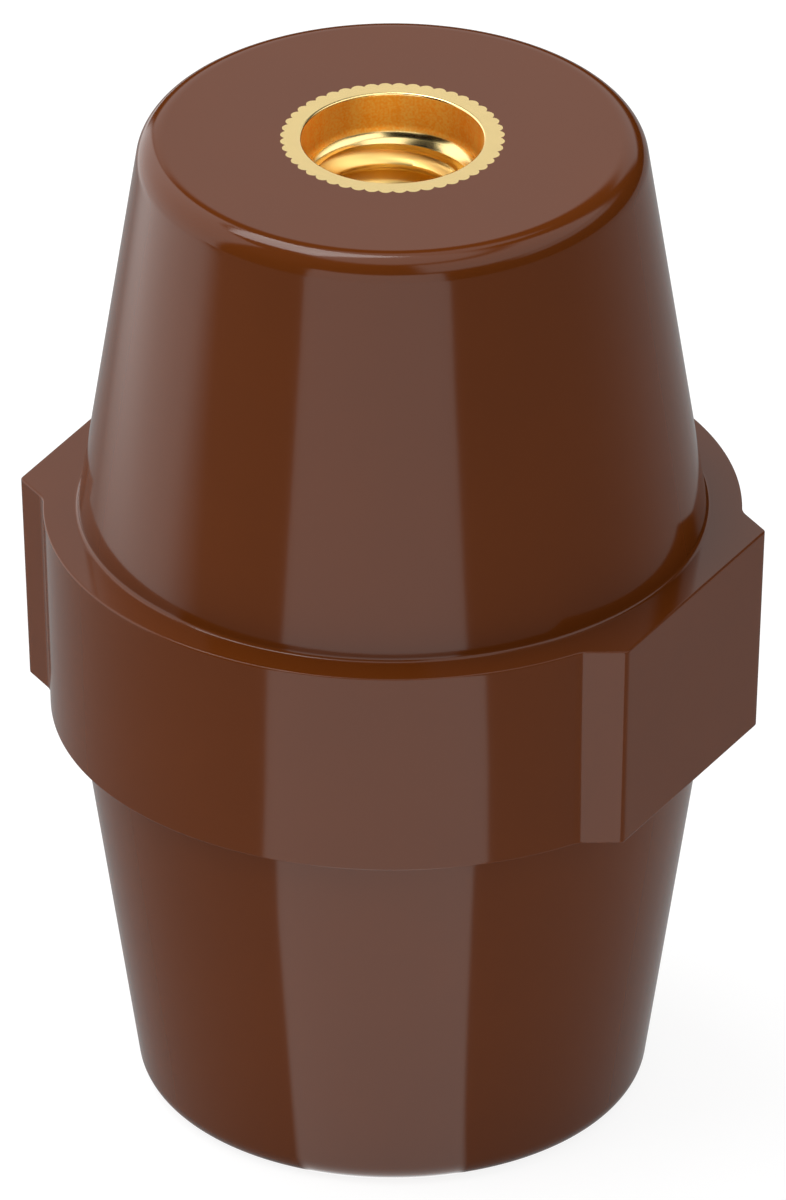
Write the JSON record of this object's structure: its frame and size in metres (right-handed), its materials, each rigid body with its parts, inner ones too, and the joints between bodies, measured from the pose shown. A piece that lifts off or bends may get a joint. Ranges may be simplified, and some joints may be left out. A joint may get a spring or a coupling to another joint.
{
  "type": "standoff insulator",
  "caption": "Barrel-shaped moulded standoff insulator with spanner ears on its collar and a brass insert with a blind threaded hole in each end.",
  "frame": {"origin": "centre of the lower end face", "axes": "+Z along the insulator's axis, from the lower end face to the upper one; +X through one of the two spanner ears"},
  "size_m": [0.05, 0.05, 0.076],
  "materials": {
    "moulding_compound": "gloss, compression moulded",
    "insert_brass": "turned, with a straight knurl"
  },
  "bodies": {
    "root": {"insulator_body": "moulding_compound", "upper_insert": "insert_brass", "lower_insert": "insert_brass"}
  },
  "joints": []
}
